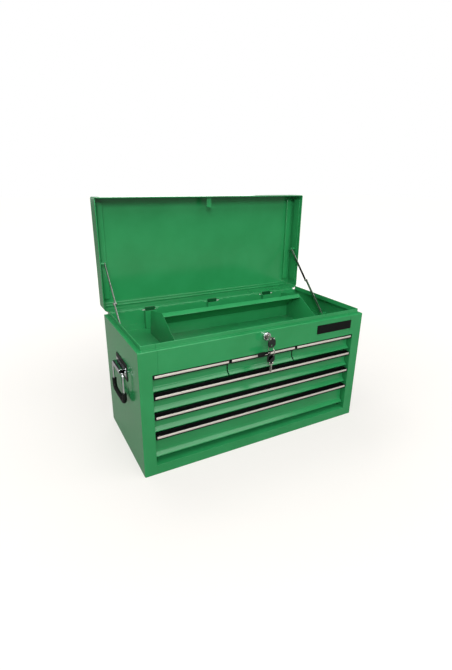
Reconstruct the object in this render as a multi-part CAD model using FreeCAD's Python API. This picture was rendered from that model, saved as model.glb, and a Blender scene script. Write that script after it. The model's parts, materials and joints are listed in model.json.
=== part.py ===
import FreeCAD, Part
import math
import os

os.makedirs("parts", exist_ok=True)
V = FreeCAD.Vector

# Steel top tool chest: six drawers below, a lidded compartment above.
# X is the width, +X to the right of someone facing the drawers, +Y goes to the back, +Z up.
# The origin is the middle of the base, on the surface that the chest stands on. Millimetres.

# Cabinet
width = 660.0
depth = 305.0
shoulder_height = 327.0
sheet = 1.2
fold_radius = 3.0
rim_inset = 10.0
rim_height = 11.5
rim_hem = 2.0
rim_corner = 2.0
rim_edge = 0.9
rim_rear_gap = 2.5
stile_width = 31.0
header_height = 59.0
sill_height = 26.0
sill_depth = 34.0
stile_return = 24.0
seam_inset = 44.5
seam_gap = 0.4
front_flange = 12.0
floor_side_flange = 7.0
floor_rear_flange = 14.0

# Drawers: four rows, the top row split in three
top_gap = 2.0
row_gap = 8.0
sill_gap = 17.1
bottom_face_height = 63.0
face_recess = 17.0
lip_advance = 9.5
face_side_gap = 2.0
face_split_gap = 3.4
curl_height = 17.0
curl_mid_down = 7.7
curl_mid_out = 2.7
lip_round = 3.0
lip_return = 2.0
box_sheet = 1.0
box_below_trim = 10.0
box_above_lip = 3.3
box_rear_gap = 14.5
slide_gap = 12.7

# Drawer pulls with their bright insert
pull_height = 10.0
pull_wall = 2.5
pull_back_wall = 1.5
pull_floor = 1.2
pull_end_wall = 2.5
insert_height = 5.8
insert_thick = 1.0
insert_drop = 1.2

# Drawer slides
slide_height = 27.0
slide_sheet = 1.2
slide_flange = 8.0
slide_running_gap = 0.3
slide_front_gap = 24.5
slide_rear_gap = 20.5
divider_thick = 2.0
divider_foot = 8.0
divider_bar_gap = 3.0
upright_depth = 30.0
upright_front_inset = 16.0
upright_rear_inset = 6.0

# Hinge
knuckle_radius = 3.0
knuckle_pitch = 13.0
hinge_end_gap = 18.0
knuckle_gap = 0.3
hinge_wall_gap = 0.4
hinge_pin_radius = 1.25
running_clearance = 0.05
leaf_thick = 1.0
leaf_height = 16.0
leaf_root = 0.2
leaf_overlap = 1.0

# Lid, drawn shut and then swung open
lid_side_inset = 2.0
lid_front_inset = 2.5
lid_seat_gap = 0.5
lid_height = 49.5
lid_sheet = 1.2
lid_fold = 4.0
lid_rear_corner = 13.0
lid_hem_height = 8.0
lid_lap = 12.2
lid_open_angle = 90.0
stiffener_leg = 27.3
stiffener_bead = 16.5
stiffener_bead_height = 7.0
stiffener_skin = 1.5
stiffener_rail = 3.8
stiffener_rail_start = 14.0
stiffener_hem_gap = 0.3
stiffener_bend = 2.5
stiffener_end_gap = 14.0

# Lid stays
stay_body_forward = 155.9
stay_body_down = 44.5
stay_lid_deep = 20.1
stay_lid_up = 134.0
stay_wall_gap = 16.8
stay_link_gap = 1.0
link_thick = 2.0
link_width = 8.0
stay_pin_radius = 2.0
stay_head_radius = 4.0
stay_tail_radius = 3.5
stay_tail_seat = 0.1
stay_head_thick = 1.5
stay_side_gap = 0.3

# Lock
lock_x = 0.0
lock_drop = 13.0
bezel_radius = 10.5
bezel_edge = 2.0
bezel_length = 9.0
barrel_radius = 9.5
barrel_tail = 23.5
plug_radius = 6.0
plug_proud = 1.0
nut_radius = 13.0
nut_thick = 4.0
cam_gap = 1.0
cam_hub_radius = 9.0
cam_thick = 2.5
cam_reach = 20.0
cam_tab_root = 16.0
cam_half_width = 3.0
cam_tab_length = 8.0
strike_half_width = 7.0
strike_sheet = 1.5
strike_setback = 31.2
strike_foot_lift = 9.5
strike_foot_height = 4.0
strike_web_gap = 1.7
strike_foot_flange = 24.0
strike_side_gap = 0.5

# Folding keys: a bow whose tongue turns on a pin in the forked end of the metal part
key_pivot_out = 18.0
fork_radius = 2.6
fork_arm = 3.0
fork_root = 2.1
fork_root_gap = 0.4
shank_length = 12.0
shank_thick = 3.6
shank_width = 7.5
blade_thick = 2.2
blade_width = 6.5
blade_depth = 8.0
blade_end_gap = 1.0
keyway_gap = 0.1
key_pin_radius = 1.0
bow_width = 21.0
bow_height = 19.0
bow_thick = 5.0
bow_drop = 3.0
bow_corner = 8.0
bow_shoulder = 2.5
bow_web = 2.0
bow_hole_radius = 3.0
tongue_width = 6.6
tongue_gap = 0.2

# Ring and tag
ring_wire = 0.8
ring_radius = 13.0
ring_rest_gap = 0.55
tag_round = 42.0
tag_hole_radius = 2.6
tag_eye_radius = 5.0
tag_neck_width = 5.0
tag_neck_length = 11.0
tag_length = 33.0
tag_width = 10.5
tag_thick = 1.6
tag_corner = 2.5

# Lock bars behind the drawers
bar_pitch = 200.0
bar_width = 24.0
bar_thick = 3.0
bar_setback = 6.5
bar_tab_width = 29.0
bar_tab_height = 8.0
bar_rise = 6.0
bar_tab_wall_gap = 0.3
bar_slot_gap = 0.5
bar_tie_drop = 36.0
bar_tie_height = 14.0
hook_width = 18.0
hook_sheet = 1.5
hook_lip = 7.0
hook_lift = 0.8
hook_past_back = 2.0
bar_notch_width = 50.0
bar_notch_depth = 8.4
guide_width = 34.0
guide_depth = 11.1
guide_below_top = 2.0

# Lift-out tray
tray_side_room = 113.0
tray_sheet = 1.0
tray_seat_gap = 0.3
tray_floor_lift = 5.6
tray_front_gap = 40.5
tray_front_height = 26.5
tray_rear_gap = 50.5
tray_wall_inset = 47.0
tray_crease_height = 38.6
tray_ridge_forward = 53.0
tray_ridge_height = 87.6
tray_end_crest = 3.0
tray_lip_run = 10.5
tray_lip_drop = 7.5
tray_back_lean = 13.0
tray_back_height = 70.6

# Badge
badge_side_gap = 42.5
badge_length = 121.0
badge_top_gap = 14.0
badge_height = 24.5
badge_thick = 1.5
badge_corner = 1.5

# Carrying handles on the sides
handle_y = -8.0
handle_drop = 91.0
handle_pivot_out = 11.5
backplate_length = 98.0
backplate_below = 21.0
backplate_above = 25.0
backplate_thick = 1.5
backplate_corner = 6.0
clip_sheet = 1.5
clip_length = 90.0
clip_half_height = 12.0
clip_corner = 4.0
roll_length = 64.0
roll_bore = 5.0
bail_radius = 2.75
bail_half_width = 48.0
bail_drop = 75.5
bail_end_half = 18.0
bail_upper_bend = 8.0
bail_lower_bend = 13.0
grip_radius = 6.0
grip_rise = 27.0
rivet_head_radius = 3.5
rivet_head_height = 2.0
rivet_head_edge = 1.2
rivet_inset = 6.0

# Worked out from the driving sizes
half_w = width / 2
front = -depth / 2
back = depth / 2
inner_x = half_w - sheet
open_x = half_w - stile_width
front_seam = half_w - seam_inset
rim_top = shoulder_height + rim_height
opening_top = shoulder_height - header_height
floor_low = opening_top + sheet
floor_top = floor_low + sheet

trim_top = opening_top - top_gap
row_pitch = (trim_top - sill_height - sill_gap - bottom_face_height) / 3
face_height = row_pitch - row_gap
face_y = front + face_recess
box_back = back - box_rear_gap
slide_front = front + slide_front_gap
slide_back = back - slide_rear_gap
slide_drop = (face_height - box_above_lip + box_below_trim) / 2
upright_front = slide_front + upright_front_inset
upright_rear = slide_back - upright_rear_inset - upright_depth
bay_split = open_x / 3

hinge_y = back + knuckle_radius + hinge_wall_gap
hinge_z = shoulder_height + lid_seat_gap
knuckle_pairs = int((half_w - hinge_end_gap) / knuckle_pitch)
lid_low = hinge_z
lid_high = lid_low + lid_height
lid_x = half_w - lid_side_inset
lid_front = front + lid_front_inset
stay_lower_x = half_w - stay_wall_gap
stay_upper_x = stay_lower_x - link_thick - stay_link_gap

lock_z = shoulder_height - lock_drop
plug_front = front - bezel_length - plug_proud
cam_front = front + barrel_tail + cam_gap
strike_plane = front + strike_setback
strike_foot_low = lock_z + strike_foot_lift
key_pivot_y = plug_front - key_pivot_out
bow_low = lock_z - bow_drop - bow_height
ring_top_z = bow_low + bow_web + ring_wire + ring_rest_gap
ring_z = ring_top_z - ring_radius
ring_low_z = ring_z - ring_radius
spare_hole_z = ring_low_z + ring_wire + ring_rest_gap - bow_hole_radius
spare_pivot_z = spare_hole_z + bow_hole_radius + bow_web - bow_height - bow_drop

bar_plane = back - bar_setback
bar_tab_low = shoulder_height + bar_rise - bar_tab_height
bar_top = shoulder_height + bar_rise
bar_tie_low = opening_top - bar_tie_drop
tray_half_width = half_w - tray_side_room
tray_front = front + tray_front_gap
tray_back_foot = back - tray_rear_gap
tray_wall_y = tray_back_foot - tray_wall_inset
tray_ridge_y = tray_wall_y - tray_ridge_forward
tray_ridge_z = floor_top + tray_ridge_height

pivot_x = half_w + handle_pivot_out
handle_pivot_z = shoulder_height - handle_drop
backplate_low = handle_pivot_z - backplate_below
roll_z = handle_pivot_z + roll_bore - bail_radius - running_clearance


def export(node, shape):
    shape.exportStep("parts/" + node + ".step")


def block(x0, x1, y0, y1, z0, z1):
    return Part.makeBox(x1 - x0, y1 - y0, z1 - z0, V(x0, y0, z0))


def rod(start, end, radius):
    axis = end.sub(start)
    return Part.makeCylinder(radius, axis.Length, start, axis)


def prism_x(points, x0, x1):
    """A flat outline in Y and Z, carried along X."""
    corners = [V(x0, y, z) for y, z in points]
    face = Part.Face(Part.makePolygon(corners + corners[:1]))
    return face.extrude(V(x1 - x0, 0, 0))


def prism_y(points, y0, y1):
    """A flat outline in X and Z, carried along Y."""
    corners = [V(x, y0, z) for x, z in points]
    face = Part.Face(Part.makePolygon(corners + corners[:1]))
    return face.extrude(V(0, y1 - y0, 0))


def edges_where(shape, test):
    return [e for e in shape.Edges if test(e.BoundBox)]


def joined(shapes):
    return shapes[0].multiFuse(shapes[1:]).removeSplitter()


def mirrored(shape):
    return shape.mirror(V(0, 0, 0), V(1, 0, 0))


def group(shapes):
    return Part.makeCompound(shapes)


def both_sides(shape):
    return group([shape, mirrored(shape)])


def opened(shape):
    """Swing a lid part from shut to the open rest position."""
    turned = shape.copy()
    turned.rotate(V(0, hinge_y, hinge_z), V(1, 0, 0), -lid_open_angle)
    return turned


# Cabinet skin: front and sides are folded from one run of sheet, then told apart by node
def body_wrap():
    outer = block(-half_w, half_w, front, back - sheet, 0, shoulder_height)
    corners = edges_where(outer, lambda b: b.ZLength > 1 and b.YMax < 0)
    outer = outer.makeFillet(fold_radius, corners)
    top = edges_where(outer, lambda b: b.ZMin > shoulder_height - 0.01 and b.YMin < back - 2 * sheet)
    outer = outer.makeFillet(fold_radius - sheet / 2, top)
    inner = block(-inner_x, inner_x, front + sheet, back, -1, shoulder_height - sheet)
    inner_corners = edges_where(inner, lambda b: b.ZLength > 1 and b.YMax < 0)
    inner = inner.makeFillet(fold_radius - sheet, inner_corners)
    rim_x = half_w - rim_inset
    rim_front = front + rim_inset
    mouth = block(rim_hem - rim_x, rim_x - rim_hem, rim_front + rim_hem, back, 0, rim_top + 1)
    rim = block(-rim_x, rim_x, rim_front, back - rim_rear_gap, shoulder_height - sheet, rim_top)
    corners = edges_where(rim, lambda b: b.ZLength > 1 and b.YMax < 0)
    rim = rim.makeFillet(rim_corner, corners)
    rim_rear = back - rim_rear_gap - rim_edge
    top = edges_where(rim, lambda b: b.ZMin > rim_top - 0.01 and b.YMin < rim_rear)
    rim = rim.makeFillet(rim_edge, top)
    skin = outer.fuse(rim).cut(inner).cut(mouth)
    skin = skin.cut(block(-open_x, open_x, front - 1, front + 2 * sheet, sill_height, opening_top))
    return skin


def side_panels(skin):
    tall = rim_top + 1
    region = block(-width, -open_x, front - 1, back, -1, opening_top)
    region = region.fuse(block(-width, -front_seam, front - 1, back, opening_top, tall))
    panel = skin.common(region)
    stile = block(-open_x - sheet, -open_x, front + sheet, front + stile_return, 0, opening_top)
    panel = joined([panel, stile])
    return group([panel, mirrored(panel)])


def front_panel(skin):
    end = front_seam - seam_gap
    panel = skin.common(block(-end, end, front - 1, 0, opening_top, rim_top + 1))
    flange = block(-end, end, front + sheet, front + front_flange, opening_top, floor_low)
    hole = rod(V(lock_x, front - 1, lock_z), V(lock_x, front + barrel_tail, lock_z), barrel_radius)
    return joined([panel, flange]).cut(hole)


def base_pan(skin):
    rail = skin.common(block(-open_x, open_x, front - 1, 0, -1, sill_height))
    sill = block(-open_x, open_x, front + sheet, front + sill_depth, sill_height - sheet, sill_height)
    floor_x = open_x - running_clearance
    pan = block(-floor_x, floor_x, front + sheet, back - sheet, 0, sheet)
    sides = block(-inner_x, inner_x, front + stile_return, back - sheet, 0, sheet)
    return joined([rail, sill, pan, sides])


def back_panel():
    panel = block(-half_w, half_w, back - sheet, back, 0, shoulder_height)
    for i in (-1, 0, 1):
        middle = i * bar_pitch
        low = shoulder_height - bar_notch_depth
        half = bar_notch_width / 2
        panel = panel.cut(block(middle - half, middle + half, back - 5, back + 1, low, shoulder_height + 1))
    return panel


def compartment_floor():
    inner_front = front + sheet
    inner_back = back - sheet
    plate = block(-inner_x, inner_x, inner_front, inner_back, floor_low, floor_top)
    side_top = floor_top + floor_side_flange
    left = block(-inner_x, sheet - inner_x, inner_front, inner_back, floor_top, side_top)
    near = block(-inner_x, inner_x, inner_front, inner_front + sheet, floor_top, side_top)
    far = block(-inner_x, inner_x, inner_back - sheet, inner_back, floor_top, floor_top + floor_rear_flange)
    # the outer corners follow the fold of the cabinet skin
    floor = joined([plate, left, mirrored(left), near, far])
    reach = fold_radius
    for side in (-1, 1):
        x0, x1 = sorted((side * inner_x, side * (inner_x - reach)))
        floor = floor.cut(block(x0, x1, inner_front, inner_front + reach, floor_low, side_top))
    for i in (-1, 0, 1):
        half = bar_width / 2 + bar_slot_gap
        y0 = bar_plane - bar_slot_gap
        y1 = bar_plane + bar_thick + bar_slot_gap
        floor = floor.cut(block(i * bar_pitch - half, i * bar_pitch + half, y0, y1, 0, floor_top))
    return floor


# Drawer bays: each is the left and right limit of the space that one drawer fills, and its row
def drawer_bays():
    split = bay_split
    half = divider_thick / 2
    return {
        "top_left": (-open_x, -split - half, 0),
        "top_middle": (half - split, split - half, 0),
        "top_right": (split + half, open_x, 0),
        "second": (-open_x, open_x, 1),
        "third": (-open_x, open_x, 2),
        "bottom": (-open_x, open_x, 3),
    }


def row_face_height(row):
    return bottom_face_height if row == 3 else face_height


def face_limits(bay):
    """The ends of a drawer's front and pull, a little inside its opening or its neighbour."""
    left, right, row = bay
    at_split = (face_split_gap - divider_thick) / 2
    x0 = left + (face_side_gap if left <= -open_x else at_split)
    x1 = right - (face_side_gap if right >= open_x else at_split)
    return x0, x1


def box_heights(row):
    top = trim_top - row * row_pitch
    low = top - row_face_height(row) + box_above_lip
    return low, top - box_below_trim


def front_profile(top, height):
    """A drawer front's section: flat above, flaring forward to a rounded lip below."""
    t = box_sheet
    low = top - height
    high = top - t
    curl = low + curl_height
    bend_y, bend_z = face_y - curl_mid_out, curl - curl_mid_down
    lip_y = face_y - lip_advance
    foot_y = lip_y + lip_return
    nose_z = low + lip_round

    def at(y, z):
        return V(0, y, z)

    nose = at(lip_y + lip_return / 10, low + lip_round * 0.3)
    inner_nose_z = nose_z + t / 3
    edges = [
        Part.LineSegment(at(face_y, high), at(face_y, curl)),
        Part.Arc(at(face_y, curl), at(bend_y, bend_z), at(lip_y, nose_z)),
        Part.Arc(at(lip_y, nose_z), nose, at(foot_y, low)),
        Part.LineSegment(at(foot_y, low), at(face_y, low)),
        Part.LineSegment(at(face_y, low), at(face_y, low + t)),
        Part.LineSegment(at(face_y, low + t), at(foot_y, low + t)),
        Part.LineSegment(at(foot_y, low + t), at(lip_y + t, inner_nose_z)),
        Part.Arc(at(lip_y + t, inner_nose_z), at(bend_y + t, bend_z), at(face_y + t, curl)),
        Part.LineSegment(at(face_y + t, curl), at(face_y + t, high)),
        Part.LineSegment(at(face_y + t, high), at(face_y, high)),
    ]
    return Part.Face(Part.Wire([e.toShape() for e in edges]))


def drawer_box(bay):
    left, right, row = bay
    top = trim_top - row * row_pitch
    low, high = box_heights(row)
    x0 = left + slide_gap
    x1 = right - slide_gap
    inside_front = face_y + box_sheet
    shell = block(x0, x1, inside_front, box_back, low, high)
    t = box_sheet
    shell = shell.cut(block(x0 + t, x1 - t, inside_front, box_back - t, low + t, high + 1))
    f0, f1 = face_limits(bay)
    skin = front_profile(top, row_face_height(row))
    skin.translate(V(f0, 0, 0))
    skin = skin.extrude(V(f1 - f0, 0, 0))
    return joined([shell, skin])


def drawer_pull(bay):
    f0, f1 = face_limits(bay)
    top = trim_top - bay[2] * row_pitch
    low = top - pull_height
    body = block(f0, f1, front, face_y, low, top)
    a, b = f0 + pull_end_wall, f1 - pull_end_wall
    body = body.cut(block(a, b, front + pull_wall, face_y - pull_back_wall, low + pull_floor, top + 1))
    z1 = top - insert_drop
    return body.cut(block(a, b, front - 1, front + insert_thick, z1 - insert_height, z1))


def pull_insert(bay):
    f0, f1 = face_limits(bay)
    z1 = trim_top - bay[2] * row_pitch - insert_drop
    a, b = f0 + pull_end_wall, f1 - pull_end_wall
    return block(a, b, front, front + insert_thick, z1 - insert_height, z1)


def channel(wall_x, toward, z0, z1):
    """A rail with its web flat on wall_x and two flanges standing toward +X or -X."""
    t = slide_sheet
    tip = wall_x + toward * slide_flange
    web = wall_x + toward * t
    x0, x1 = sorted((wall_x, tip))
    w0, w1 = sorted((web, tip + toward))
    whole = block(x0, x1, slide_front, slide_back, z0, z1)
    return whole.cut(block(w0, w1, slide_front - 1, slide_back + 1, z0 + t, z1 - t))


def slide_pair(bay, outer):
    left, right, row = bay
    middle = trim_top - row * row_pitch - slide_drop
    if outer:
        half = slide_height / 2
        walls = ((left, 1), (right, -1))
    else:
        half = slide_height / 2 - slide_sheet - slide_running_gap
        walls = ((left + slide_gap, -1), (right - slide_gap, 1))
    return [channel(x, way, middle - half, middle + half) for x, way in walls]


def slide_supports():
    """Two dividers in the top row, and two hollow posts behind each side of the opening."""
    split = bay_split
    half = divider_thick / 2
    low = trim_top - face_height + box_sheet
    web = block(split - half, split + half, slide_front, bar_plane - divider_bar_gap, low, floor_low)
    x0, x1 = split - divider_foot, split + divider_foot
    foot = block(x0, x1, slide_front, slide_back, floor_low - sheet, floor_low)
    pieces = [joined([web, foot])]
    for y0 in (upright_front, upright_rear):
        y1 = y0 + upright_depth
        post = block(open_x, inner_x, y0, y1, sheet, floor_low)
        hollow = block(open_x + sheet, inner_x + 1, y0 + sheet, y1 - sheet, 0, floor_low + 1)
        pieces.append(post.cut(hollow))
    return group(pieces + [mirrored(piece) for piece in pieces])


# Continuous hinge: even knuckles belong to the cabinet, odd ones to the lid
def knuckle_spans(first):
    start = -knuckle_pitch * knuckle_pairs
    spans = []
    for i in range(first, 2 * knuckle_pairs, 2):
        x0 = start + i * knuckle_pitch
        spans.append((x0 + knuckle_gap / 2, x0 + knuckle_pitch - knuckle_gap / 2))
    return spans


def hinge_leaf(first, way):
    """One leaf, with the lid shut: way is -1 for the leaf that hangs down, 1 for the one that stands."""
    half = knuckle_pitch * knuckle_pairs
    clear = knuckle_radius + hinge_wall_gap
    z0, z1 = sorted((hinge_z + way * clear, hinge_z + way * leaf_height))
    pieces = [block(-half, half, back, back + leaf_thick, z0, z1)]
    for x0, x1 in knuckle_spans(first):
        pieces.append(rod(V(x0, hinge_y, hinge_z), V(x1, hinge_y, hinge_z), knuckle_radius))
        s0, s1 = sorted((hinge_z + way * clear, hinge_z + way * leaf_root))
        pieces.append(block(x0, x1, back + hinge_wall_gap, back + hinge_wall_gap + leaf_thick, s0, s1))
        b0, b1 = sorted((hinge_z + way * (clear - leaf_overlap), hinge_z + way * (clear + leaf_overlap)))
        pieces.append(block(x0, x1, back, back + hinge_wall_gap + leaf_thick, b0, b1))
    bore_radius = hinge_pin_radius + running_clearance
    bore = rod(V(-half - 1, hinge_y, hinge_z), V(half + 1, hinge_y, hinge_z), bore_radius)
    return joined(pieces).cut(bore)


def hinge_pin():
    half = knuckle_pitch * knuckle_pairs
    return rod(V(-half, hinge_y, hinge_z), V(half, hinge_y, hinge_z), hinge_pin_radius)


# Lid parts are drawn shut
def lid_shell():
    outer = block(-lid_x, lid_x, lid_front, back, lid_low, lid_high)
    rear = edges_where(outer, lambda b: b.ZLength > 1 and b.YMin > 0)
    outer = outer.makeFillet(lid_rear_corner, rear)
    near = edges_where(outer, lambda b: b.ZLength > 1 and b.YMax < 0)
    outer = outer.makeFillet(lid_fold, near)
    top = edges_where(outer, lambda b: b.ZMin > lid_high - 0.01)
    outer = outer.makeFillet(lid_fold - lid_sheet / 2, top)
    t = lid_sheet
    inner = block(t - lid_x, lid_x - t, lid_front + t, back - t, lid_low - 1, lid_high - t)
    rear = edges_where(inner, lambda b: b.ZLength > 1 and b.YMin > 0)
    inner = inner.makeFillet(lid_rear_corner - t, rear)
    near = edges_where(inner, lambda b: b.ZLength > 1 and b.YMax < 0)
    inner = inner.makeFillet(lid_fold - t, near)
    shell = outer.cut(inner)
    hem_top = lid_low + lid_hem_height
    y1 = back - lid_rear_corner - t
    side = block(-lid_x + t, -lid_x + 2 * t, lid_front + lid_fold, y1, lid_low, hem_top)
    face = block(lid_fold - lid_x, lid_x - lid_fold, lid_front + t, lid_front + 2 * t, lid_low, hem_top)
    lap_x = lid_x - lid_rear_corner
    lap = block(-lap_x, lap_x, back - t - lid_lap, back - t, lid_high - 2 * t, lid_high - t)
    return joined([shell, side, mirrored(side), face, lap])


def lid_stiffeners():
    """A folded strip along each side: a bead on the panel and a raised rail on the skirt."""
    corner = lid_x - lid_sheet
    under = lid_high - lid_sheet
    x_in = corner - stiffener_leg
    bead = x_in + stiffener_bead
    skin = stiffener_skin
    rail = corner - stiffener_rail
    rail_low = lid_low + lid_hem_height + stiffener_hem_gap
    section = [
        (corner, under),
        (x_in, under),
        (x_in, under - stiffener_bead_height),
        (bead, under - stiffener_bead_height),
        (bead, under - skin),
        (corner - skin, under - skin),
        (corner - skin, under - stiffener_rail_start),
        (rail, under - stiffener_rail_start),
        (rail, rail_low),
        (corner, rail_low),
    ]
    y0 = lid_front + stiffener_end_gap
    y1 = back - stiffener_end_gap - lid_lap
    strip = prism_y(section, y0, y1)
    bead_low = under - stiffener_bead_height + 0.01
    crests = edges_where(strip, lambda b: b.YLength > 1 and b.ZMax < bead_low and b.XMax < bead + 1)
    strip = strip.makeFillet(stiffener_bend, crests)
    return both_sides(strip)


def lid_strike():
    """A folded hook under the lid's front that passes behind the cabinet's rim to the lock's cam."""
    skirt = lid_front + lid_sheet
    web_low = rim_top + strike_web_gap
    web_high = web_low + strike_sheet
    x0, x1 = lock_x - strike_half_width, lock_x + strike_half_width
    plane = strike_plane + strike_sheet
    foot = block(x0, x1, skirt, skirt + strike_sheet, web_low, web_low + strike_foot_flange)
    web = block(x0, x1, skirt, plane, web_low, web_high)
    shank_x = lock_x - cam_half_width - strike_side_gap
    shank = block(x0, shank_x, strike_plane, plane, strike_foot_low, web_high)
    hook_high = strike_foot_low + strike_foot_height
    hook = block(x0, x1, strike_plane, plane, strike_foot_low, hook_high)
    return joined([foot, web, shank, hook])


# Folding lid stays: two flat links on each side, in neighbouring planes
def stay_points():
    """The pivot on the cabinet, the pivot on the open lid and the middle joint, as (y, z)."""
    low = (hinge_y - stay_body_forward, hinge_z - stay_body_down)
    high = (hinge_y + stay_lid_deep, hinge_z + stay_lid_up)
    return low, high, ((low[0] + high[0]) / 2, (low[1] + high[1]) / 2)


def link(start, end, x0, holes):
    """A flat bar with round ends between two (y, z) points, its inner face at x0."""
    x1 = x0 + link_thick
    run = V(0, end[0] - start[0], end[1] - start[1])
    across = V(0, -run.z, run.y).normalize().multiply(link_width / 2)
    a, b = V(x0, *start), V(x0, *end)
    corners = [a.add(across), b.add(across), b.sub(across), a.sub(across)]
    bar = Part.Face(Part.makePolygon(corners + corners[:1])).extrude(V(link_thick, 0, 0))
    for y, z in (start, end):
        bar = bar.fuse(rod(V(x0, y, z), V(x1, y, z), link_width / 2))
    bar = bar.removeSplitter()
    for y, z, radius in holes:
        bar = bar.cut(rod(V(x0 - 1, y, z), V(x1 + 1, y, z), radius))
    return bar


def stay_lower_links():
    """The lower links, each with the rivet that is fixed in its end at the middle joint."""
    low, high, middle = stay_points()
    holes = [(*low, stay_pin_radius + running_clearance), (*middle, stay_pin_radius)]
    bar = link(low, middle, stay_lower_x, holes)
    outer = stay_lower_x + link_thick
    inner = stay_upper_x + link_thick + stay_side_gap + stay_tail_seat
    shank = rod(V(inner, *middle), V(outer, *middle), stay_pin_radius)
    head = rod(V(outer, *middle), V(outer + stay_head_thick, *middle), stay_head_radius)
    rivet = joined([shank, head])
    return group([bar, rivet, mirrored(bar), mirrored(rivet)])


def stay_upper_links():
    low, high, middle = stay_points()
    bar = link(high, middle, stay_upper_x, [(*high, stay_pin_radius + running_clearance)])
    tail = rod(V(stay_upper_x - stay_head_thick, *middle), V(stay_upper_x, *middle), stay_tail_radius)
    return both_sides(bar.fuse(tail))


def stay_stud(point, link_x, wall_x):
    """A shouldered stud that stands from wall_x inward, through a link, and ends in a head."""
    shoulder = link_x + link_thick + stay_side_gap
    head_x = link_x - stay_side_gap
    return joined([
        rod(V(shoulder, *point), V(wall_x, *point), stay_head_radius),
        rod(V(head_x, *point), V(shoulder, *point), stay_pin_radius),
        rod(V(head_x - stay_head_thick, *point), V(head_x, *point), stay_head_radius),
    ])


# Lock and keys
def lock_housing():
    def disc(y0, y1, radius):
        return rod(V(lock_x, y0, lock_z), V(lock_x, y1, lock_z), radius)

    bezel_front = plug_front + plug_proud
    bezel = disc(bezel_front, front, bezel_radius)
    front_edge = edges_where(bezel, lambda b: b.YMax < bezel_front + 0.01)
    bezel = bezel.makeFillet(bezel_edge, front_edge)
    body = bezel.fuse(disc(front, front + barrel_tail, barrel_radius)).removeSplitter()
    body = body.cut(disc(bezel_front - 1, front + barrel_tail + 1, plug_radius + running_clearance))
    nut_y = front + sheet
    corners = []
    for i in range(6):
        angle = math.radians(60 * i)
        corners.append((lock_x + nut_radius * math.cos(angle), lock_z + nut_radius * math.sin(angle)))
    nut = prism_y(corners, nut_y, nut_y + nut_thick)
    nut = nut.cut(disc(nut_y - 1, nut_y + nut_thick + 1, barrel_radius))
    return group([body, nut])


def lock_plug():
    y0 = plug_front
    y1 = cam_front + cam_thick
    plug = rod(V(lock_x, y0, lock_z), V(lock_x, y1, lock_z), plug_radius)
    half_t = blade_thick / 2 + keyway_gap
    half_w_blade = blade_width / 2 + keyway_gap
    slot = block(lock_x - half_t, lock_x + half_t, y0 - 1, y0 + blade_depth, lock_z - half_w_blade,
                 lock_z + half_w_blade)
    return plug.cut(slot)


def lock_cam():
    """A lever behind the lock: level while unlocked, with a bent tab that swings over the strike's foot."""
    y0 = cam_front
    y1 = y0 + cam_thick
    hub = rod(V(lock_x, y0, lock_z), V(lock_x, y1, lock_z), cam_hub_radius)
    arm = block(lock_x, lock_x + cam_reach, y0, y1, lock_z - cam_half_width, lock_z + cam_half_width)
    tab = block(lock_x + cam_tab_root, lock_x + cam_reach, y0, y1 + cam_tab_length,
                lock_z - cam_half_width, lock_z + cam_half_width)
    cam = joined([hub, arm, tab])
    return cam.cut(rod(V(lock_x, y0 - 1, lock_z), V(lock_x, y1 + 1, lock_z), plug_radius))


def rounded_plate(x0, x1, y0, y1, z0, z1, radius, along):
    """A block whose four edges along X or Y are rounded."""
    plate = block(x0, x1, y0, y1, z0, z1)
    if along == "x":
        edges = edges_where(plate, lambda b: b.YLength + b.ZLength < 0.01)
    else:
        edges = edges_where(plate, lambda b: b.XLength + b.ZLength < 0.01)
    return plate.makeFillet(radius, edges)


def key_metal():
    """A key's metal part, with its hinge pin at the origin and its blade pointing along +Y."""
    inner = tongue_width / 2 + tongue_gap
    outer = inner + fork_arm
    root_near = bow_thick / 2 + fork_root_gap
    root_far = root_near + fork_root
    shank_end = root_far + shank_length
    tip = key_pivot_out + blade_depth - blade_end_gap
    wide = shank_thick / 2
    half = blade_thick / 2
    pieces = [
        block(-outer, outer, root_near, root_far, -fork_radius, fork_radius),
        block(-wide, wide, root_far, shank_end, -shank_width / 2, shank_width / 2),
        block(-half, half, shank_end, tip, -blade_width / 2, blade_width / 2),
        rod(V(-outer, 0, 0), V(outer, 0, 0), key_pin_radius),
    ]
    for x0, x1 in ((inner, outer), (-outer, -inner)):
        pieces.append(rod(V(x0, 0, 0), V(x1, 0, 0), fork_radius))
        pieces.append(block(x0, x1, 0, root_near, -fork_radius, fork_radius))
    return joined(pieces)


def key_bow_shape():
    """A key's bow, with its hinge pin at the origin, hanging down from it."""
    half = bow_width / 2
    thick = bow_thick / 2
    low = -bow_drop - bow_height
    bow = block(-half, half, -thick, thick, low, -bow_drop)
    far = edges_where(bow, lambda b: b.YLength > 1 and b.XLength < 0.01 and b.ZMax < low + 0.01)
    bow = bow.makeFillet(bow_corner, far)
    near = edges_where(bow, lambda b: b.YLength > 1 and b.XLength < 0.01 and b.ZMin > -bow_drop - 0.01)
    bow = bow.makeFillet(bow_shoulder, near)
    hole_z = low + bow_web + bow_hole_radius
    bow = bow.cut(rod(V(0, -thick - 1, hole_z), V(0, thick + 1, hole_z), bow_hole_radius))
    side = tongue_width / 2
    tongue = block(-side, side, -thick, thick, -bow_drop, 0)
    barrel = rod(V(-side, 0, 0), V(side, 0, 0), thick)
    bow = joined([bow, tongue, barrel])
    return bow.cut(rod(V(-side - 1, 0, 0), V(side + 1, 0, 0), key_pin_radius + running_clearance))


def at_pivot(shape, z):
    shape.translate(V(lock_x, key_pivot_y, z))
    return shape


def spare_bow():
    """The second key's bow, the other way up because it hangs by its hole."""
    bow = key_bow_shape()
    bow.rotate(V(0, 0, 0), V(0, 1, 0), 180)
    return at_pivot(bow, spare_pivot_z)


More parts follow.
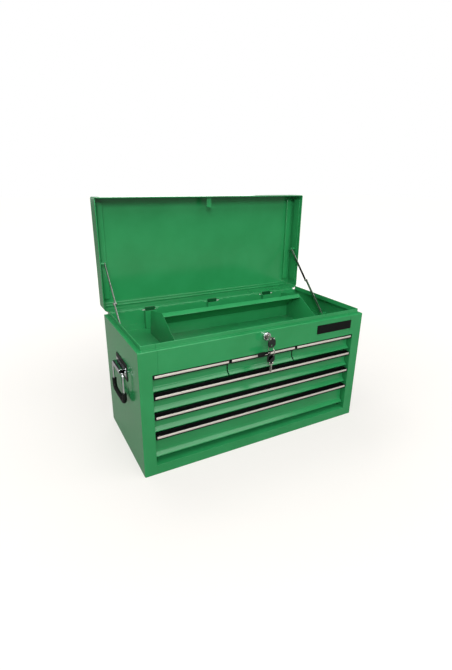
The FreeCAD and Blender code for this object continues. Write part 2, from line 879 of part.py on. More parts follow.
def spare_blade():
    metal = key_metal()
    metal.rotate(V(0, 0, 0), V(1, 0, 0), -90)
    return at_pivot(metal, spare_pivot_z)


def key_ring():
    return Part.makeTorus(ring_radius, ring_wire, V(lock_x, key_pivot_y, ring_z), V(1, 0, 0))


def key_tag():
    """A small plate with an eye, threaded on the rear of the ring and lying out to the left."""
    turn = math.radians(tag_round)
    y = key_pivot_y + ring_radius * math.cos(turn)
    z = ring_z - ring_radius * math.sin(turn)
    y0, y1 = y - tag_thick / 2, y + tag_thick / 2
    half = tag_width / 2
    neck_end = lock_x - tag_neck_length
    plate = rounded_plate(lock_x - tag_length, neck_end, y0, y1, z - half, z + half, tag_corner, "y")
    neck = block(neck_end - tag_corner, lock_x, y0, y1, z - tag_neck_width / 2, z + tag_neck_width / 2)
    eye = rod(V(lock_x, y0, z), V(lock_x, y1, z), tag_eye_radius)
    tag = joined([plate, neck, eye])
    return tag.cut(rod(V(lock_x, y0 - 1, z), V(lock_x, y1 + 1, z), tag_hole_radius))


# Lock bars: one frame of three uprights that the shut lid pushes down
def lock_bars():
    """Flat bars and tabs welded edge to edge, and hooks of an arm and a lip behind the drawers' backs."""
    y0, y1 = bar_plane, bar_plane + bar_thick
    half = bar_width / 2
    tab = bar_tab_width / 2
    tab_back = back - bar_tab_wall_gap
    hook_back = box_back - box_sheet - hook_past_back
    hook_front = hook_back - hook_sheet
    w = hook_width / 2
    tie_high = bar_tie_low + bar_tie_height
    tie = block(half, bar_pitch - half, y0, y1, bar_tie_low, tie_high)
    pieces = [tie, mirrored(tie)]
    for i in (-1, 0, 1):
        x = i * bar_pitch
        rows = (0, 1, 2, 3) if i == 0 else (0,)
        low = box_heights(rows[-1])[1] if i == 0 else bar_tie_low
        pieces.append(block(x - half, x + half, y0, y1, low, bar_tab_low))
        pieces.append(block(x - tab, x + tab, y0, tab_back, bar_tab_low, bar_top))
        for row in rows:
            lip_low = box_heights(row)[1] + hook_lift
            arm_low = lip_low + hook_lip
            pieces.append(block(x - w, x + w, hook_front, y0, arm_low, arm_low + hook_sheet))
            pieces.append(block(x - w, x + w, hook_front, hook_back, lip_low, arm_low))
    return group(pieces)


def lock_bar_guides():
    guides = []
    far = back - 2 * sheet
    near = far - guide_depth
    top = shoulder_height - guide_below_top
    for i in (-1, 0, 1):
        x = i * bar_pitch
        half = guide_width / 2
        whole = block(x - half, x + half, near, far, floor_top, top)
        hollow = block(x - half + sheet, x + half - sheet, near + sheet, far + 1, 0, top + 1)
        guides.append(whole.cut(hollow))
    return group(guides)


def tray():
    """Folded tray between two tall ends, with a carrying ridge along its middle."""
    foot = floor_top + tray_seat_gap
    t = tray_sheet
    floor_z = floor_top + tray_floor_lift
    wall = tray_wall_y
    crease = floor_top + tray_crease_height
    front_top = floor_top + tray_front_height
    lip = (tray_ridge_y - tray_lip_run, tray_ridge_z - tray_lip_drop)
    sheet_run = [
        (tray_front, front_top),
        (tray_front, floor_z),
        (wall + t, floor_z),
        (wall + t, crease),
        (tray_ridge_y + t, tray_ridge_z),
        (tray_ridge_y - t, tray_ridge_z),
        lip,
        (lip[0], lip[1] - t),
        (tray_ridge_y, tray_ridge_z - 2 * t),
        (wall, crease),
        (wall, floor_z + t),
        (tray_front + t, floor_z + t),
        (tray_front + t, front_top),
    ]
    body = prism_x(sheet_run, -tray_half_width + t, tray_half_width - t)
    end = [
        (tray_front, foot),
        (tray_back_foot, foot),
        (tray_back_foot - tray_back_lean, floor_top + tray_back_height),
        (tray_ridge_y + tray_end_crest, tray_ridge_z),
        (tray_ridge_y - tray_end_crest, tray_ridge_z),
        (tray_front, front_top),
    ]
    left = prism_x(end, -tray_half_width, -tray_half_width + t)
    return joined([body, left, mirrored(left)])


def badge_plate():
    x1 = half_w - badge_side_gap
    z1 = shoulder_height - badge_top_gap
    y0 = front - badge_thick
    return rounded_plate(x1 - badge_length, x1, y0, front, z1 - badge_height, z1, badge_corner, "y")


# Side handles, drawn on the left
def handle_backplate():
    y0 = handle_y - backplate_length / 2
    high = handle_pivot_z + backplate_above
    return rounded_plate(-half_w - backplate_thick, -half_w, y0, y0 + backplate_length, backplate_low,
                         high, backplate_corner, "x")


def handle_clip():
    """A strap rolled loosely round the bail's rod, which rests in its bottom, with a rivet at each end."""
    wall = -half_w - backplate_thick
    x0 = wall - clip_sheet
    half = clip_length / 2
    roll_half = roll_length / 2
    outer = roll_bore + clip_sheet
    y0, y1 = handle_y - roll_half, handle_y + roll_half
    y_low, y_high = handle_y - half, handle_y + half
    flange = rounded_plate(x0, wall, y_low, y_high, roll_z - clip_half_height, roll_z + clip_half_height,
                           clip_corner, "x")
    roll = rod(V(-pivot_x, y0, roll_z), V(-pivot_x, y1, roll_z), outer)
    neck = block(-pivot_x, wall, y0, y1, roll_z - outer, roll_z + outer)
    clip = joined([flange, roll, neck])
    clip = clip.cut(rod(V(-pivot_x, y0 - 1, roll_z), V(-pivot_x, y1 + 1, roll_z), roll_bore))
    clip = clip.cut(block(-pivot_x, wall, y0 - 1, y1 + 1, roll_z - roll_bore, roll_z + roll_bore))
    rivets = []
    face = x0 - rivet_head_height
    for y in (y_low + rivet_inset, y_high - rivet_inset):
        head = rod(V(x0, y, roll_z), V(face, y, roll_z), rivet_head_radius)
        head = head.makeFillet(rivet_head_edge, edges_where(head, lambda b: b.XMax < face + 0.01))
        rivets.append(head)
    return [clip] + rivets


def bend(corner, start, end, radius):
    """Where a path turns square at a corner: the two tangent points and the arc's middle."""
    toward_start = start.sub(corner).normalize()
    toward_end = end.sub(corner).normalize()
    a = corner.add(V(toward_start).multiply(radius))
    b = corner.add(V(toward_end).multiply(radius))
    centre = a.add(V(toward_end).multiply(radius))
    outward = corner.sub(centre).normalize().multiply(radius)
    return a, centre.add(outward), b


def handle_bail_and_grip():
    x, z = -pivot_x, handle_pivot_z
    w = bail_half_width
    low = z - bail_drop

    def at(dy, dz):
        return V(x, handle_y + dy, dz)

    ends = at(-bail_end_half, z), at(bail_end_half, z)
    top_near, low_near = at(-w, z), at(-w, low)
    low_far, top_far = at(w, low), at(w, z)
    turns = [
        bend(top_near, ends[0], low_near, bail_upper_bend),
        bend(low_near, top_near, low_far, bail_lower_bend),
        bend(low_far, low_near, top_far, bail_lower_bend),
        bend(top_far, low_far, ends[1], bail_upper_bend),
    ]
    edges = []
    last = ends[0]
    for a, m, b in turns:
        edges.append(Part.LineSegment(last, a).toShape())
        edges.append(Part.Arc(a, m, b).toShape())
        last = b
    edges.append(Part.LineSegment(last, ends[1]).toShape())
    path = Part.Wire(edges)
    circle = Part.Wire([Part.Circle(ends[0], V(0, 1, 0), bail_radius).toShape()])
    bail = path.makePipeShell([circle], True, False)

    rise = low + grip_rise
    near, far = at(-w, rise), at(w, rise)
    g_edges = [Part.LineSegment(near, turns[1][0]).toShape(), Part.Arc(*turns[1]).toShape()]
    g_edges.append(Part.LineSegment(turns[1][2], turns[2][0]).toShape())
    g_edges += [Part.Arc(*turns[2]).toShape(), Part.LineSegment(turns[2][2], far).toShape()]
    g_path = Part.Wire(g_edges)

    def tube(radius):
        ring = Part.Wire([Part.Circle(near, V(0, 0, 1), radius).toShape()])
        return g_path.makePipeShell([ring], True, False)

    grip = tube(grip_radius).cut(tube(bail_radius + running_clearance))
    return bail, grip


skin = body_wrap()
export("side_panels", side_panels(skin))
export("front_panel", front_panel(skin))
export("base_pan", base_pan(skin))
export("back_panel", back_panel())
export("compartment_floor", compartment_floor())
export("slide_supports", slide_supports())
export("badge_plate", badge_plate())

rails = []
for name, bay in drawer_bays().items():
    rails += slide_pair(bay, True)
    export("drawer_" + name, drawer_box(bay))
    export("pull_" + name, drawer_pull(bay))
    export("pull_insert_" + name, pull_insert(bay))
    export("slides_" + name, group(slide_pair(bay, False)))
export("slide_rails", group(rails))

export("hinge_body_leaf", hinge_leaf(0, -1))
export("hinge_lid_leaf", opened(hinge_leaf(1, 1)))
export("hinge_pin", hinge_pin())
export("lid_shell", opened(lid_shell()))
export("lid_stiffeners", opened(lid_stiffeners()))
export("lid_strike", opened(lid_strike()))

low_pivot, lid_pivot = stay_points()[:2]
export("stay_lower_links", stay_lower_links())
export("stay_upper_links", stay_upper_links())
export("stay_body_studs", both_sides(stay_stud(low_pivot, stay_lower_x, inner_x)))
stud_wall = lid_x - lid_sheet - stiffener_rail
export("stay_lid_studs", both_sides(stay_stud(lid_pivot, stay_upper_x, stud_wall)))

export("lock_housing", lock_housing())
export("lock_plug", lock_plug())
export("lock_cam", lock_cam())
export("key", at_pivot(key_metal(), lock_z))
export("key_bow", at_pivot(key_bow_shape(), lock_z))
export("key_ring", key_ring())
export("key_tag", key_tag())
export("spare_bow", spare_bow())
export("spare_blade", spare_blade())

export("lock_bars", lock_bars())
export("lock_bar_guides", lock_bar_guides())
export("tray", tray())

backplate = handle_backplate()
clip = handle_clip()
export("handle_backplates", both_sides(backplate))
export("handle_clips", group(clip + [mirrored(piece) for piece in clip]))
bail, grip = handle_bail_and_grip()
export("handle_bail_left", bail)
export("handle_bail_right", mirrored(bail))
export("handle_grip_left", grip)
export("handle_grip_right", mirrored(grip))
print("hinge axis y z", hinge_y, hinge_z)
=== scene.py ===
import json
import math

import bmesh
import bpy
import numpy as np
from mathutils import Matrix, Vector


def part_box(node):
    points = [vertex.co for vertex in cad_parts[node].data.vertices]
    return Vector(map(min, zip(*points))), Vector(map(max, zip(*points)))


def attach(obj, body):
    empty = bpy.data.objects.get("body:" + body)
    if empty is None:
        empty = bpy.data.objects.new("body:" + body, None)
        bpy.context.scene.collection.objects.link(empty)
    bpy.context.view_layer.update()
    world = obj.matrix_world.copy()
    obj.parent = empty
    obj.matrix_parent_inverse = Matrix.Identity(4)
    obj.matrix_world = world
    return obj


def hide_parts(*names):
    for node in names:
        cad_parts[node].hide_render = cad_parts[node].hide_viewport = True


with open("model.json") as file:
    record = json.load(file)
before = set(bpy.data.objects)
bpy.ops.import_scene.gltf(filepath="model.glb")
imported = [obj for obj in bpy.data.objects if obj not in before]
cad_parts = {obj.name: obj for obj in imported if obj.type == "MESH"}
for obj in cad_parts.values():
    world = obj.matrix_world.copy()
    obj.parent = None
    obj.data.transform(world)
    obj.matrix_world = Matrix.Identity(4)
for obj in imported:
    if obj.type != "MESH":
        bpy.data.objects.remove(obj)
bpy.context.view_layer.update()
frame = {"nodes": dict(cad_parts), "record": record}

# Colours as they read on the object, in sRGB hex: the darker and the lighter end of each finish
paint = {
    "enamel": ("26854b", "2a8c51"),
    "thinEnamel": ("0c4423", "0f4d28"),
    "blackEnamel": ("0a0d0b", "0f1210"),
    # painted shade: the chest's green darkened for parts that sit in shadow
    "blackAbs": ("070908", "0b0e0d"),
    "rubber": ("080a09", "0c0e0c"),
    "keyBow": ("121615", "191e1c"),
    "badge": ("050706", "080b0a"),
    "strip": ("d6cfc4", "efe9e0"),
    "chrome": ("c9cccf", "dfe2e4"),
    "zinc": ("848882", "9a9e98"),
    "nickel": ("aeaca5", "c6c4bd"),
}


def linear(hexText):
    # sRGB hex to linear: c/12.92 near black, ((c + 0.055)/1.055)^2.4 above
    parts = [int(hexText[i:i + 2], 16) / 255 for i in (0, 2, 4)]
    return tuple(c / 12.92 if c <= 0.04045 else ((c + 0.055) / 1.055) ** 2.4 for c in parts) + (1.0,)


def emptyTree(owner):
    # the owner's node tree with nothing in it
    owner.use_nodes = True
    owner.node_tree.nodes.clear()
    return owner.node_tree


def addNode(tree, kind, settings=None, links=None):
    # one node: settings go to its properties or its inputs, links join (node, output) to its inputs
    node = tree.nodes.new(kind)
    for key, value in (settings or {}).items():
        if isinstance(key, int) or key in node.inputs:
            node.inputs[key].default_value = value
        else:
            setattr(node, key, value)
    for key, (source, output) in (links or {}).items():
        tree.links.new(source.outputs[output], node.inputs[key])
    return node


def noise(tree, source, sizeMm, detail, roughness=0.5):
    # noise whose features are about this many millimetres across
    return addNode(tree, "ShaderNodeTexNoise",
                   {"Scale": 1000 / sizeMm, "Detail": detail, "Roughness": roughness}, {"Vector": source})


def colourBetween(tree, factor, pair, span):
    # a ramp from the first colour to the second as the factor goes over the span
    ramp = addNode(tree, "ShaderNodeValToRGB", links={"Fac": factor})
    for stop, colour, place in zip(ramp.color_ramp.elements, pair, span):
        stop.position = place
        stop.color = linear(colour)
    return ramp


def roughBetween(tree, factor, span, low, high):
    # roughness from low to high as the factor goes over the span
    return addNode(tree, "ShaderNodeMapRange",
                   {"From Min": span[0], "From Max": span[1], "To Min": low, "To Max": high},
                   {"Value": factor})


def dents(tree, height, depthMm, under=None):
    # dents of this depth, on top of other dents if they are given
    links = {"Height": height}
    if under:
        links["Normal"] = (under, "Normal")
    return addNode(tree, "ShaderNodeBump", {"Strength": 1.0, "Distance": depthMm / 1000}, links)


def newMaterial(name, settings):
    # a material with one shader, whose even values are the settings, and the object's own coordinates
    material = bpy.data.materials.new(name)
    tree = emptyTree(material)
    shader = addNode(tree, "ShaderNodeBsdfPrincipled", settings)
    addNode(tree, "ShaderNodeOutputMaterial", links={"Surface": (shader, "BSDF")})
    place = addNode(tree, "ShaderNodeTexCoord")
    return material, tree, shader, (place, "Object")


def dress(tree, shader, colour, rough, bump=None):
    # joins the varying colour and roughness, and the dents if there are any, to the shader
    tree.links.new(colour.outputs["Color"], shader.inputs["Base Color"])
    tree.links.new(rough.outputs["Result"], shader.inputs["Roughness"])
    if bump:
        tree.links.new(bump.outputs["Normal"], shader.inputs["Normal"])


enamelLook = {
    "cloudMm": 90.0,           # faint cloudiness of colour and gloss
    "cloudDetail": 3.0,
    "colourSpan": (0.35, 0.65),
    "roughSpan": (0.3, 0.7),
    "roughness": 0.16,
    "smoother": 0.02,          # how far the cloud takes the roughness down, and up
    "rougher": 0.03,
    "waveMm": 130.0,           # slow waviness of thin folded sheet
    "waveDetail": 1.0,
    "waveDepthMm": 0.16,
    "peelMm": 1.6,             # orange peel left by the spray gun
    "peelDetail": 2.0,
    "peelDepthMm": 0.012,
    "specular": 0.46,
}


def bakedEnamel(name, pair, look):
    # alkyd enamel sprayed on degreased sheet steel and baked: full colour, a soft gloss, and a skin
    # that is finely dimpled close up and a little wavy over a whole panel
    material, tree, shader, place = newMaterial(name, {"Specular IOR Level": look["specular"]})
    cloud = noise(tree, place, look["cloudMm"], look["cloudDetail"])
    wave = noise(tree, place, look["waveMm"], look["waveDetail"])
    peel = noise(tree, place, look["peelMm"], look["peelDetail"])
    waveDents = dents(tree, (wave, "Fac"), look["waveDepthMm"])
    dress(tree, shader,
          colourBetween(tree, (cloud, "Fac"), pair, look["colourSpan"]),
          roughBetween(tree, (cloud, "Fac"), look["roughSpan"],
                       look["roughness"] - look["smoother"], look["roughness"] + look["rougher"]),
          dents(tree, (peel, "Fac"), look["peelDepthMm"], waveDents))
    return material


plasticLook = {
    "grainDetail": 4.0,
    "grainRoughness": 0.6,
    "broadTimes": 22,          # the colour's play is this many grains across
    "broadDetail": 2.0,
    "colourSpan": (0.35, 0.7),
    "roughSpan": (0.3, 0.7),
    "smoother": 0.05,
    "rougher": 0.06,
}


def mouldedPlastic(name, pair, grainMm, depthMm, roughness, specular, look=plasticLook):
    # ABS or rubber from a spark-eroded mould: one dark colour with a fine dull grain
    material, tree, shader, place = newMaterial(name, {"Specular IOR Level": specular})
    grain = noise(tree, place, grainMm, look["grainDetail"], look["grainRoughness"])
    broad = noise(tree, place, grainMm * look["broadTimes"], look["broadDetail"])
    dress(tree, shader,
          colourBetween(tree, (broad, "Fac"), pair, look["colourSpan"]),
          roughBetween(tree, (grain, "Fac"), look["roughSpan"],
                       roughness - look["smoother"], roughness + look["rougher"]),
          dents(tree, (grain, "Fac"), depthMm))
    return material


brushedLook = {
    "stretch": (0.02, 1.0, 1.0),   # the hair lines run along X, fifty times as long as wide
    "lineMm": 0.5,
    "lineDetail": 5.0,
    "lineRoughness": 0.65,
    "colourSpan": (0.3, 0.7),
    "roughSpan": (0.25, 0.75),
    "roughness": 0.44,
    "smoother": 0.08,
    "rougher": 0.10,
    "depthMm": 0.006,
    "metallic": 0.55,
}


def brushedMetal(name, pair, look):
    # anodised strip drawn through a belt: a pale satin face with hair lines from end to end
    material, tree, shader, place = newMaterial(name, {"Metallic": look["metallic"]})
    lines = addNode(tree, "ShaderNodeMapping", {"Scale": look["stretch"]}, {"Vector": place})
    hair = noise(tree, (lines, "Vector"), look["lineMm"], look["lineDetail"], look["lineRoughness"])
    dress(tree, shader,
          colourBetween(tree, (hair, "Fac"), pair, look["colourSpan"]),
          roughBetween(tree, (hair, "Fac"), look["roughSpan"],
                       look["roughness"] - look["smoother"], look["roughness"] + look["rougher"]),
          dents(tree, (hair, "Fac"), look["depthMm"]))
    return material


platedLook = {"patchDetail": 4.0, "span": (0.3, 0.7)}


def platedMetal(name, pair, patchMm, roughness, rougher, look=platedLook):
    # electroplate on pressed steel: even metal with a soft cloud of dullness where it was handled
    material, tree, shader, place = newMaterial(name, {"Metallic": 1.0})
    patch = noise(tree, place, patchMm, look["patchDetail"])
    dress(tree, shader,
          colourBetween(tree, (patch, "Fac"), pair, look["span"]),
          roughBetween(tree, (patch, "Fac"), look["span"], roughness, roughness + rougher))
    return material


greenEnamel = bakedEnamel("greenBakedEnamel", paint["enamel"], enamelLook)
# painted shade: the same enamel in a darker green, standing in for the shadow on the lock bars
paintedShadeEnamel = bakedEnamel("thinEnamelOverPrimer", paint["thinEnamel"], enamelLook)
finishOf = {
    "green_paint": greenEnamel,
    "black_paint": bakedEnamel("blackBakedEnamel", paint["blackEnamel"],
                               dict(enamelLook, roughness=0.40, specular=0.22)),
    "black_plastic": mouldedPlastic("blackMouldedAbs", paint["blackAbs"],
                                    grainMm=0.5, depthMm=0.02, roughness=0.42, specular=0.28),
    "black_rubber": mouldedPlastic("blackMouldedRubber", paint["rubber"],
                                   grainMm=0.7, depthMm=0.04, roughness=0.60, specular=0.22),
    "key_plastic": mouldedPlastic("darkGreyMouldedAbs", paint["keyBow"],
                                  grainMm=0.45, depthMm=0.02, roughness=0.45, specular=0.35),
    "badge_black": mouldedPlastic("blackGlossAbs", paint["badge"],
                                  grainMm=0.6, depthMm=0.004, roughness=0.30, specular=0.16),
    "pull_insert_finish": brushedMetal("satinAluminiumStrip", paint["strip"], brushedLook),
    "chrome_plate": platedMetal("brightChromePlate", paint["chrome"],
                                patchMm=14.0, roughness=0.10, rougher=0.08),
    "zinc_steel": platedMetal("brightZincPlate", paint["zinc"],
                              patchMm=9.0, roughness=0.38, rougher=0.12),
    "nickel_steel": platedMetal("nickelPlate", paint["nickel"],
                                patchMm=6.0, roughness=0.20, rougher=0.12),
}
print("materials made:", len(bpy.data.materials))

bodyOf = {node: body for body, nodes in frame["record"]["behaviour"]["bodies"].items() for node in nodes}
slotOf = {part["node"]: part["material_slot"] for part in frame["record"]["subparts"]}


def finishNodes():
    # every CAD node takes the finish of its slot in the record
    for node, slot in slotOf.items():
        mesh = frame["nodes"][node].data
        mesh.materials.clear()
        mesh.materials.append(finishOf[slot])


finishNodes()
print("finishes given to the CAD nodes")


def addPiece(name, mesh, body, slot, finish=None):
    # links a finished mesh, rides it on its body and gives it the slot's finish
    piece = bpy.data.objects.new(name, mesh)
    bpy.context.scene.collection.objects.link(piece)
    mesh.materials.clear()
    mesh.materials.append(finish or finishOf[slot])
    mesh.polygons.foreach_set("use_smooth", np.ones(len(mesh.polygons), dtype=bool))
    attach(piece, body)
    return piece


def standFor(name, mesh, node, slot, finish=None):
    # puts the mesh in place of a CAD node, on the same body
    piece = addPiece(name, mesh, bodyOf[node], slot, finish)
    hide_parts(node)
    return piece


# How far the edges of each kind of piece are rounded, in millimetres, and in how many steps
sheetEdges = {
    "width": 0.35,
    "steps": 2,
    "nodes": ["side_panels", "front_panel", "base_pan", "back_panel", "compartment_floor", "lid_shell",
              "lid_stiffeners", "lid_strike", "lock_bar_guides", "tray", "stay_lower_links",
              "stay_upper_links", "handle_clips"],
}
mouldedEdges = {
    "width": 0.55,
    "steps": 3,
    "nodes": ["pull_top_left", "pull_top_middle", "pull_top_right", "pull_second", "pull_third",
              "pull_bottom", "badge_plate", "handle_backplates", "key_tag", "lock_housing"],
}
keyEdges = {"width": 0.9, "steps": 3, "nodes": ["key_bow", "spare_bow"]}
metalEdges = {"width": 0.25, "steps": 2, "nodes": ["key", "spare_blade", "lock_plug"]}
# Sprayed together with the chest, so they show its green
greenEdges = {"width": 0.25, "steps": 2, "slot": "green_paint",
              "nodes": ["hinge_pin", "stay_body_studs", "stay_lid_studs"]}
# Painted shade: the chest's green made darker for the lock bars, which stand in shadow behind the back's
# notches
shadedEdges = {"width": 0.35, "steps": 2, "finish": paintedShadeEnamel, "nodes": ["lock_bars"]}
# No room for a rounding between the knuckles
hingeEdges = {"width": 0.0, "nodes": ["hinge_body_leaf", "hinge_lid_leaf"]}

# How a CAD node's triangles are cleaned in its copy, in metres and degrees
copyLook = {"merge": 2e-6, "cutWithin": 1e-6, "flatWithin": 0.5, "sharpFrom": 33.0}


def softCopy(node, look, cuts=(), shift=None):
    # the node's own triangles merged and flat faces joined again; then, where asked, level cuts at these
    # heights in millimetres and points shifted; last, each sharp edge rounded by a bevel
    mesh = frame["nodes"][node].data.copy()
    mesh.name = node + "_finished"
    work = bmesh.new()
    work.from_mesh(mesh)
    bmesh.ops.remove_doubles(work, verts=work.verts[:], dist=copyLook["merge"])
    bmesh.ops.dissolve_limit(work, angle_limit=math.radians(copyLook["flatWithin"]),
                             verts=work.verts[:], edges=work.edges[:])
    for height in cuts:
        bmesh.ops.bisect_plane(work, geom=work.verts[:] + work.edges[:] + work.faces[:],
                               dist=copyLook["cutWithin"], plane_co=(0, 0, height / 1000),
                               plane_no=(0, 0, 1))
    work.to_mesh(mesh)
    work.free()
    if shift:
        flat = np.empty(len(mesh.vertices) * 3, dtype=np.float32)
        mesh.vertices.foreach_get("co", flat)
        places = flat.reshape(-1, 3).astype(float) * 1000
        shift(places, node)
        mesh.vertices.foreach_set("co", (places / 1000).astype(np.float32).ravel())
        mesh.update()
    piece = standFor(node + "_finished", mesh, node, look.get("slot", slotOf[node]), look.get("finish"))
    sharp = math.radians(copyLook["sharpFrom"])
    if not look["width"]:
        mesh.set_sharp_from_angle(angle=sharp)
        return
    bevel = piece.modifiers.new("roundedEdges", "BEVEL")
    bevel.width = look["width"] / 1000
    bevel.segments = look["steps"]
    bevel.limit_method = "ANGLE"
    bevel.angle_limit = sharp
    bevel.use_clamp_overlap = False
    bevel.miter_outer = "MITER_ARC"
    weigh = piece.modifiers.new("flatFacesStayFlat", "WEIGHTED_NORMAL")
    weigh.keep_sharp = False


# A drawer front's section in millimetres: out against down, from where the flat face ends to the lip's nose
drawerFront = {
    "curlHeight": 17.0,      # from the front's foot up to where the flat face ends
    "drawn": ((0.0, 0.0), (7.7, 2.7), (14.0, 9.5)),
    "down": (0.0, 5.6, 6.2, 6.8, 7.6, 14.0),
    "out": (0.0, 1.15, 1.35, 1.75, 2.5, 9.5),
    "face": -135.5,
    "skinDepth": 1.01,       # the sheet's thickness behind the face
    "nodes": ["drawer_top_left", "drawer_top_middle", "drawer_top_right", "drawer_second", "drawer_third",
              "drawer_bottom"],
}


def curlTop(node):
    # the height at which a drawer front's flat face ends
    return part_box(node)[0][2] * 1000 + drawerFront["curlHeight"]


def creasedFront(places, node):
    # shift = drawn(down) - creased(down), with down = curl's top - z: the sheet's soft flare becomes a
    # flat face, one crisp crease and a flat lip, as a press brake leaves it
    (d0, o0), (d1, o1), (d2, o2) = drawerFront["drawn"]
    down = curlTop(node) - places[:, 2]
    # the drawn arc goes through three points: its centre from the two chords' perpendiculars
    chords = np.array([[d1 - d0, o1 - o0], [d2 - d1, o2 - o1]])
    middles = np.array([[(d0 + d1) / 2, (o0 + o1) / 2], [(d1 + d2) / 2, (o1 + o2) / 2]])
    centre = np.linalg.solve(chords, (chords * middles).sum(axis=1))
    radius = math.hypot(d0 - centre[0], o0 - centre[1])
    span = np.clip(down, d0, d2)
    drawn = centre[1] - np.sqrt(radius ** 2 - (span - centre[0]) ** 2)
    creased = np.interp(span, drawerFront["down"], drawerFront["out"])
    skin = (places[:, 1] < drawerFront["face"] + drawerFront["skinDepth"]) & (down > d0) & (down < d2)
    places[:, 1] += np.where(skin, drawn - creased, 0.0)


# Knuckles drawn up close round the hinge's line, in millimetres
hingeLine = {
    "y": 155.9,
    "z": 327.5,
    "drawn": 3.0,
    "full": 3.35,
    "within": 0.06,          # a point this near the drawn radius is on a knuckle
    "fade": 1.5,             # height over the line at which a knuckle is full
    "leafSide": 0.1,         # behind this the lid's leaf leaves its knuckles
}


def fullKnuckles(places, node):
    # points on the knuckles' upper halves move out along their radius by (full - drawn) w, with
    # w = height / fade held between 0 and 1, and 0 where the lid's leaf leaves its knuckles
    line = hingeLine
    out = places[:, 1:] - (line["y"], line["z"])
    far = np.linalg.norm(out, axis=1)
    share = np.clip(out[:, 1] / line["fade"], 0.0, 1.0)
    if node == "hinge_lid_leaf":
        share[out[:, 0] > line["leafSide"]] = 0.0
    share[np.abs(far - line["drawn"]) > line["within"]] = 0.0
    places[:, 1:] += out * (share * (line["full"] / np.maximum(far, line["within"]) - 1))[:, None]


for look in (sheetEdges, mouldedEdges, keyEdges, metalEdges, greenEdges, shadedEdges):
    for node in look["nodes"]:
        softCopy(node, look)
for node in drawerFront["nodes"]:
    softCopy(node, sheetEdges, [curlTop(node) - down for down in drawerFront["down"]], creasedFront)
for node in hingeEdges["nodes"]:
    softCopy(node, hingeEdges, shift=fullKnuckles)
print("edges rounded, drawer fronts creased, knuckles closed up")


def gridMesh(name, points, closedAlong=False):
    # points[i, j], in millimetres, is station i along and step j around; quads join neighbours, the last
    # step joins the first, and an open run along gets a flat cap at each end
    rows, steps = points.shape[:2]
    index = np.arange(rows * steps).reshape(rows, steps)
    along = np.vstack([index, index[:1]]) if closedAlong else index
    around = np.hstack([along, along[:, :1]])
    quads = np.stack([around[:-1, :-1], around[1:, :-1], around[1:, 1:], around[:-1, 1:]], axis=-1)
    faces = quads.reshape(-1, 4).tolist()
    if not closedAlong:
        faces += [index[0].tolist(), index[-1, ::-1].tolist()]
    mesh = bpy.data.meshes.new(name)
    mesh.from_pydata((points / 1000).reshape(-1, 3).tolist(), [], faces)
    work = bmesh.new()
    work.from_mesh(mesh)
    bmesh.ops.recalc_face_normals(work, faces=work.faces[:])
    work.to_mesh(mesh)
    work.free()
    return mesh


def boxMm(node):
    # the low and high corner of a CAD node, in millimetres
    return [np.array(corner) * 1000 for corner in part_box(node)]


def fullTurn(steps):
    # angles in equal steps once round
    return np.linspace(0.0, 2 * math.pi, steps, endpoint=False)


# Satin strips in the pulls, in millimetres
stripLook = {
    "crown": 0.35,           # how far the long edges fall back behind the middle
    "crownPower": 6,
    "across": 13,
    "endRound": 0.5,
    "endStations": 4,
    "endNarrow": 0.5,        # share of the rounding by which an end also narrows
}


def crownedStrip(node, look):
    # section: z = middle + h t, y = front + crown |t|^power for t from -1 to 1, closed by a flat back;
    # at both ends the section draws back by a quarter circle
    low, high = boxMm(node)
    depth = high[1] - low[1]
    t = np.linspace(-1.0, 1.0, look["across"])
    sectionZ = np.concatenate([t, [1.0, -1.0]])
    sectionY = np.concatenate([look["crown"] * np.abs(t) ** look["crownPower"], [depth, depth]])
    turn = np.linspace(0.0, math.pi / 2, look["endStations"])
    inset = look["endRound"] * (1 - np.sin(turn))
    ends = look["endRound"] * (1 - np.cos(turn))
    x = np.concatenate([low[0] + ends, high[0] - ends[::-1]])
    back = np.concatenate([inset, inset[::-1]])
    middle, half = (low[2] + high[2]) / 2, (high[2] - low[2]) / 2
    points = np.zeros((len(x), len(sectionZ), 3))
    points[:, :, 0] = x[:, None]
    points[:, :, 1] = low[1] + np.minimum(sectionY[None, :] + back[:, None], depth)
    points[:, :, 2] = middle + sectionZ[None, :] * (half - back[:, None] * look["endNarrow"])
    standFor(node + "_strip", gridMesh(node + "_strip", points), node, "pull_insert_finish")


for node in [name for name in slotOf if name.startswith("pull_insert_")]:
    crownedStrip(node, stripLook)
print("strips made")

# Rubber grips on the bails, in millimetres
gripLook = {
    "rodRadius": 2.78,
    "radius": 6.0,
    "collar": 0.45,          # how much thicker the ends are, over what length, and how soon that ends
    "collarLength": 4.0,
    "collarStep": 0.6,
    "endRound": 1.2,
    "bend": 13.0,
    "stationsPerRun": 26,
    "around": 28,
}


def bentRun(low, high, radius, stations):
    # path in (y, z): down one leg, a quarter circle of the bend radius, along the bottom, and up again
    turn = np.linspace(0.0, math.pi / 2, stations)
    leg = np.linspace(high[1], low[1] + radius, stations)
    first = np.stack([np.full(stations, low[0]), leg], axis=1)
    corner = np.stack([low[0] + radius * (1 - np.cos(turn)), low[1] + radius * (1 - np.sin(turn))], axis=1)
    middle = (low[0] + high[0]) / 2
    bottom = np.stack([np.linspace(low[0] + radius, middle, stations), np.full(stations, low[1])], axis=1)
    half = np.vstack([first, corner[1:], bottom[1:]])
    other = half[::-1][1:].copy()
    other[:, 0] = 2 * middle - other[:, 0]
    return np.vstack([half, other])


